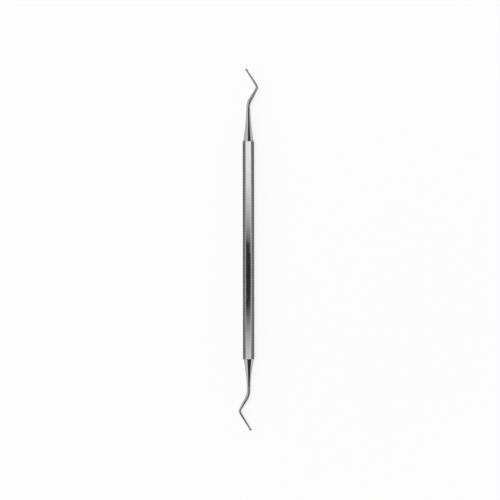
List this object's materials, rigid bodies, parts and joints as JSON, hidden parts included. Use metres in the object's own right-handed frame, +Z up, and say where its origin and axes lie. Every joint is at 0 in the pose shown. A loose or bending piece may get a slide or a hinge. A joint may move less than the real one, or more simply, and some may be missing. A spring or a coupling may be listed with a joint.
{
  "type": "ball burnisher",
  "caption": "Double-ended ball burnisher in one piece of stainless steel: hexagonal serrated handle, turned tapers, bent shanks and a small polished ball at each end.",
  "frame": {"origin": "centre of the object's box on the plane that it lies on", "axes": "+Y along the handle to the upper end, +Z up from the flat that it lies on, +X to the side that the upper shank bends to first"},
  "size_m": [0.0094, 0.1702, 0.0049],
  "materials": {
    "stainless": "polished stainless steel with fine grinding lines; serrated flats duller"
  },
  "bodies": {
    "root": {"ball_burnisher": "stainless"}
  },
  "joints": []
}
